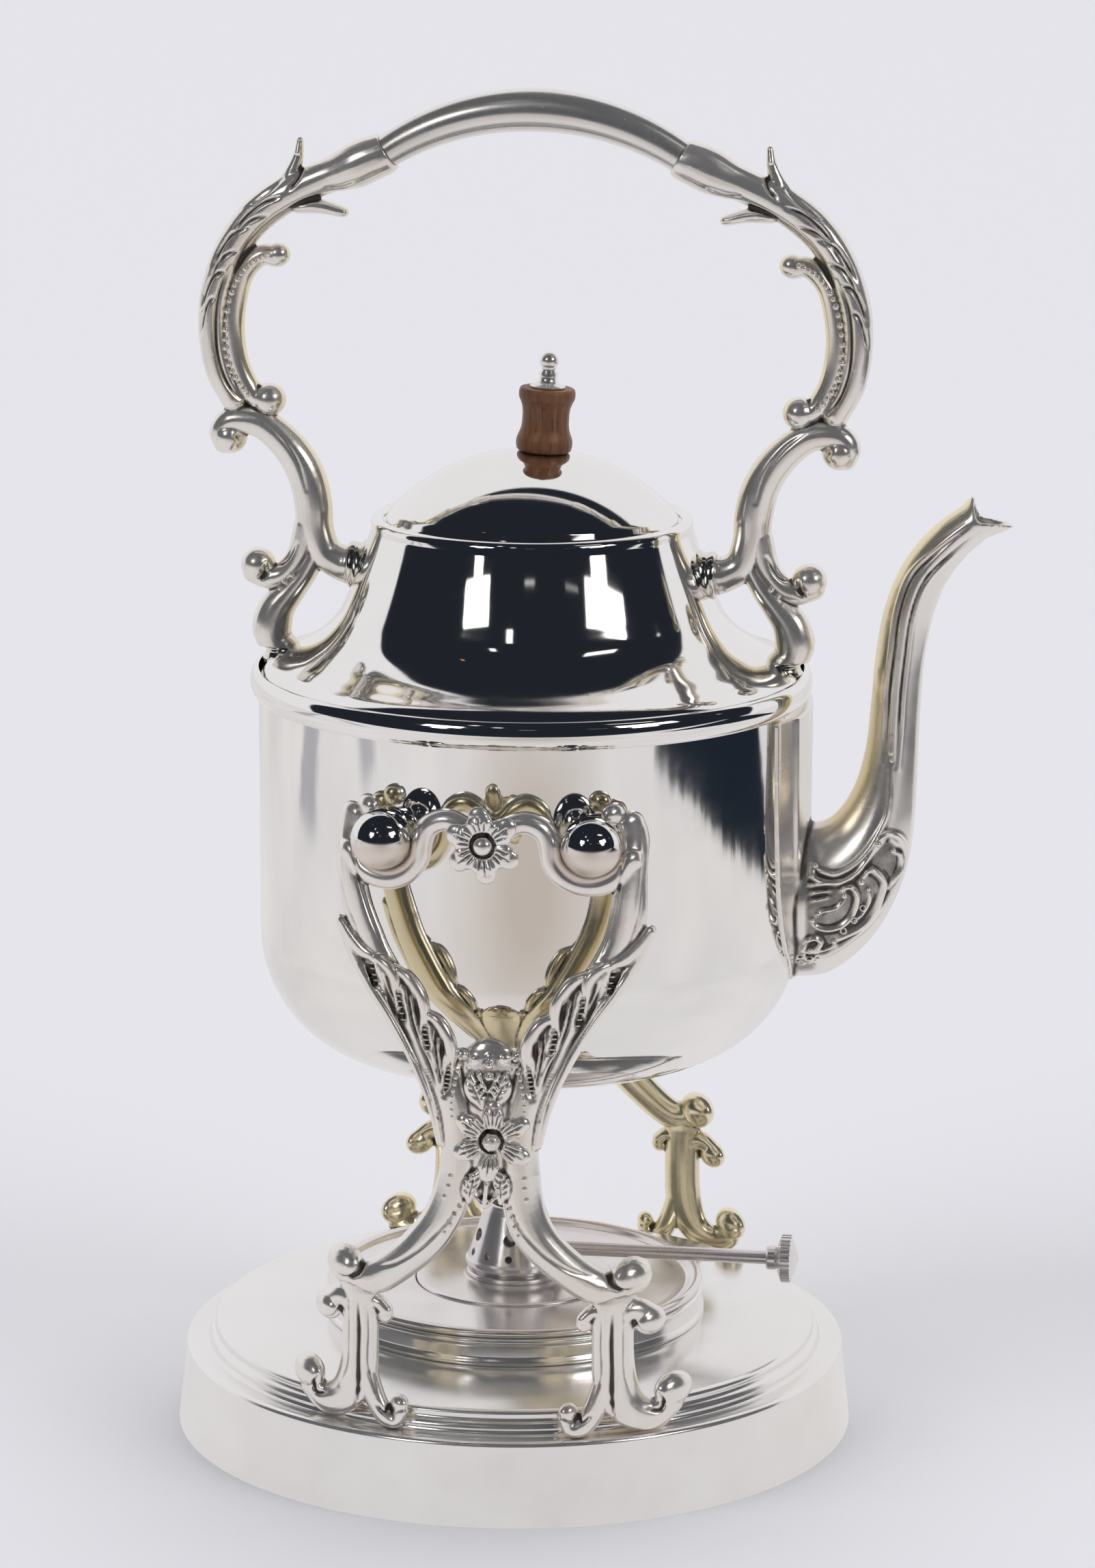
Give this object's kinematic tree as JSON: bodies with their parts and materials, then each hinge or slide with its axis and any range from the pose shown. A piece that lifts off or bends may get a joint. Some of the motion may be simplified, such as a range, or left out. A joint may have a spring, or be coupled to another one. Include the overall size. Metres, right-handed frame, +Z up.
{
  "type": "spirit kettle on stand",
  "caption": "Silver-plated kettle that tips on a stand of two cast supports over a spirit lamp, with a hinged lid, a wooden knob and a bail-shaped handle.",
  "frame": {"origin": "centre of the base on the table", "axes": "+Z up, +X towards the spout, -Y towards the viewer of the picture"},
  "size_m": [0.2243, 0.185, 0.3642],
  "materials": {
    "spun_silver": "satin and polished spun silver plate",
    "kettle_silver": "polished silver plate",
    "cast_silver": "cast silver plate with darkened recesses",
    "handle_silver": "cast and polished silver plate",
    "burner_nickel": "polished nickel plate",
    "brass": "plain",
    "steel": "plain",
    "wick_cotton": "woven",
    "knob_wood": "oiled"
  },
  "bodies": {
    "stand": {"base": "spun_silver", "lamp_ring": "spun_silver", "front_support": "cast_silver", "back_support": "cast_silver", "front_feet": "cast_silver", "back_feet": "cast_silver", "front_rosette": "cast_silver", "back_rosette": "cast_silver", "front_flower": "cast_silver", "back_flower": "cast_silver"},
    "pivot": {"pivot_studs": "kettle_silver"},
    "kettle": {"kettle_bowl": "kettle_silver", "kettle_neck": "kettle_silver", "shoulder_rim": "kettle_silver", "stud_sockets": "kettle_silver", "rest_studs": "kettle_silver", "spout": "cast_silver", "handle_left": "handle_silver", "handle_right": "handle_silver", "handle_grip": "handle_silver", "neck_bosses": "handle_silver", "shoulder_pads": "handle_silver", "neck_hinge_leaf": "kettle_silver", "hinge_pin": "steel"},
    "lid": {"lid_dome": "kettle_silver", "lid_bezel": "kettle_silver", "lid_hinge_leaf": "kettle_silver", "lid_knob": "knob_wood", "knob_finial": "kettle_silver", "knob_nut": "brass"},
    "lamp": {"spirit_font": "burner_nickel", "font_disc": "burner_nickel", "burner_collar": "burner_nickel", "wick_tube": "brass"},
    "cap": {"burner_cap": "burner_nickel"},
    "winder": {"winder_rod": "burner_nickel", "wick_wheel": "brass", "winder_ferrule": "burner_nickel", "winder_knob": "burner_nickel"},
    "wick": {"wick": "wick_cotton"}
  },
  "joints": [
    {"name": "kettle_lift", "type": "slide", "parent": "stand", "child": "pivot", "axis": [0, 0, 1], "range_m": [0, 0.06]},
    {"name": "kettle_tip", "type": "hinge", "parent": "pivot", "child": "kettle", "pos_m": [0.031, 0, 0.1807], "axis": [0, 1, 0], "range_deg": [0, 35]},
    {"name": "lid_hinge", "type": "hinge", "parent": "kettle", "child": "lid", "pos_m": [0.004, 0.0446, 0.253], "axis": [-1, 0, 0], "range_deg": [0, 100]},
    {"name": "lamp_lift", "type": "slide", "parent": "stand", "child": "lamp", "axis": [0, 0, 1], "range_m": [0, 0.03]},
    {"name": "cap_lift", "type": "slide", "parent": "lamp", "child": "cap", "axis": [0, 0, 1], "range_m": [0, 0.01]},
    {"name": "winder_turn", "type": "hinge", "parent": "lamp", "child": "winder", "pos_m": [0.03, -0.00355, 0.0483], "axis": [1, 0, 0], "range_deg": [0, 150]},
    {"name": "wick_raise", "type": "slide", "parent": "lamp", "child": "wick", "axis": [0, 0, 1], "range_m": [0, 0.00786]}
  ],
  "couplings": [
    {"joint": "wick_raise", "follows": "winder_turn", "m_per_rad": 0.003}
  ]
}
